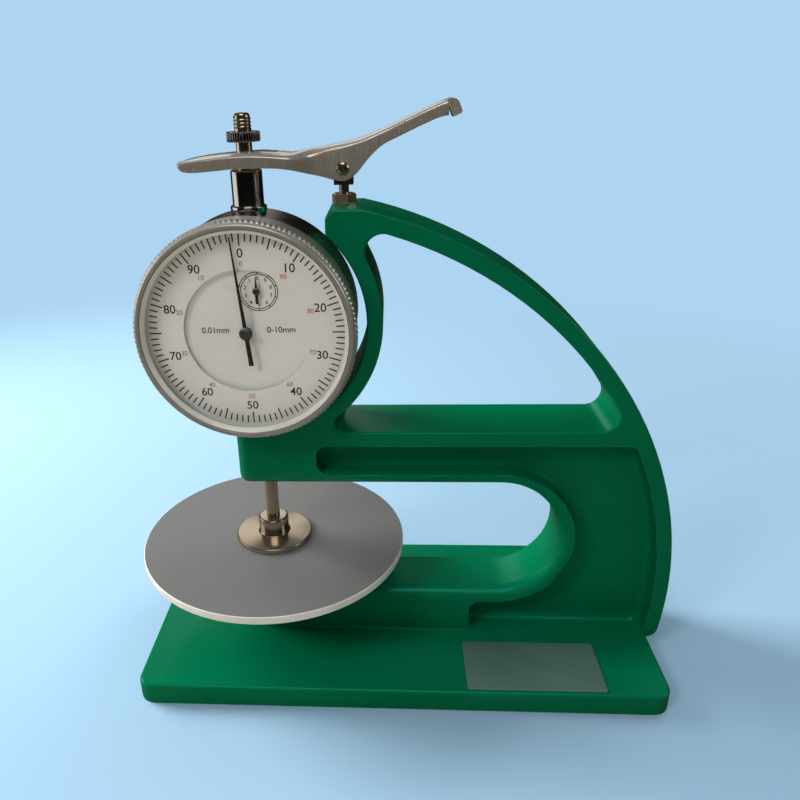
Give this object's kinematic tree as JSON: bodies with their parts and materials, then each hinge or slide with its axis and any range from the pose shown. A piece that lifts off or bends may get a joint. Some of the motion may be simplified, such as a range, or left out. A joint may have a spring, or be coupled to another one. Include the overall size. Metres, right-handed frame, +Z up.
{
  "type": "sheet thickness gauge",
  "caption": "Bench thickness gauge: dial indicator in a green cast C frame over a round table, with a foot on the spindle and a forked lift lever.",
  "frame": {"origin": "point on the underside of the base, straight under the axis of the spindle", "axes": "+Z up, along the spindle; +X from the open mouth of the frame to its closed back; +Y away from the dial's face"},
  "size_m": [0.1585, 0.08, 0.1583],
  "materials": {
    "green_enamel": "gloss",
    "plate_metal": "satin",
    "satin_steel": "satin",
    "table_aluminium": "matte",
    "brass_parts": "satin",
    "dark_steel": "satin",
    "nickel_steel": "satin",
    "case_metal": "satin",
    "dial_white": "matte",
    "hand_black": "matte",
    "crystal_glass": "gloss",
    "lever_nickel": "satin"
  },
  "bodies": {
    "frame": {"frame_casting": "green_enamel", "blank_plate": "plate_metal", "table_post": "satin_steel", "table_disc": "table_aluminium", "clamp_pad": "brass_parts", "stem_clamp_screw": "dark_steel", "lever_stud": "nickel_steel", "stud_locknut": "nickel_steel", "dial_case": "case_metal", "lower_stem": "satin_steel", "upper_tube": "satin_steel", "lower_bush": "brass_parts", "upper_bush": "brass_parts", "back_cover": "case_metal", "cover_screw_1": "dark_steel", "cover_screw_2": "dark_steel", "cover_screw_3": "dark_steel", "cover_screw_4": "dark_steel", "bezel_snap_ring": "dark_steel", "inner_dial": "dial_white", "movement_plate": "brass_parts", "movement_bridge": "brass_parts", "plate_pillar_1": "brass_parts", "plate_pillar_2": "brass_parts", "plate_pillar_3": "brass_parts", "plate_pillar_4": "brass_parts", "bridge_screw_1": "dark_steel", "bridge_screw_2": "dark_steel", "bridge_screw_3": "dark_steel", "bridge_screw_4": "dark_steel", "pinion_cock": "brass_parts", "hairspring": "dark_steel", "hairspring_stud": "brass_parts", "guide_block": "brass_parts", "spring_post": "brass_parts", "measuring_spring": "dark_steel"},
    "spindle": {"rack_spindle": "nickel_steel", "presser_foot": "nickel_steel", "lifting_nut": "nickel_steel", "guide_pin": "dark_steel"},
    "lever": {"lift_lever": "lever_nickel", "lever_pivot_pin": "nickel_steel"},
    "bezel_assembly": {"bezel": "case_metal", "crystal": "crystal_glass", "scale_ring": "dial_white"},
    "drive_arbor": {"drive_pinion": "dark_steel", "drive_wheel": "brass_parts"},
    "centre_arbor": {"centre_pinion": "dark_steel", "pointer_hub": "hand_black", "main_pointer": "hand_black"},
    "takeup_arbor": {"counter_arbor": "dark_steel", "takeup_wheel": "brass_parts", "counter_hand": "hand_black"}
  },
  "joints": [
    {"name": "spindle_slide", "type": "slide", "parent": "frame", "child": "spindle", "axis": [0, 0, 1], "range_m": [0, 0.01], "stiffness_N_per_m": 60, "springref_m": -0.01, "deforming": ["measuring_spring"]},
    {"name": "lever_pivot", "type": "hinge", "parent": "frame", "child": "lever", "pos_m": [0.0246, 0, 0.143], "axis": [0, 1, 0], "range_deg": [0, 22]},
    {"name": "pointer_turn", "type": "hinge", "parent": "frame", "child": "centre_arbor", "pos_m": [0, 0, 0.1055], "axis": [0, -1, 0], "range_deg": [-3600, 0]},
    {"name": "drive_turn", "type": "hinge", "parent": "frame", "child": "drive_arbor", "pos_m": [-0.00324, 0, 0.09505], "axis": [0, -1, 0], "range_deg": [0, 360]},
    {"name": "counter_turn", "type": "hinge", "parent": "frame", "child": "takeup_arbor", "pos_m": [0.00324, 0, 0.11595], "axis": [0, -1, 0], "range_deg": [0, 360]},
    {"name": "bezel_turn", "type": "hinge", "parent": "frame", "child": "bezel_assembly", "pos_m": [0, 0, 0.1055], "axis": [0, 1, 0], "continuous": true}
  ],
  "couplings": [
    {"joint": "lever_pivot", "follows": "spindle_slide", "rad_per_m": 38.397},
    {"joint": "pointer_turn", "follows": "spindle_slide", "rad_per_m": -6283.2},
    {"joint": "drive_turn", "follows": "spindle_slide", "rad_per_m": 628.32},
    {"joint": "counter_turn", "follows": "spindle_slide", "rad_per_m": 628.32}
  ]
}
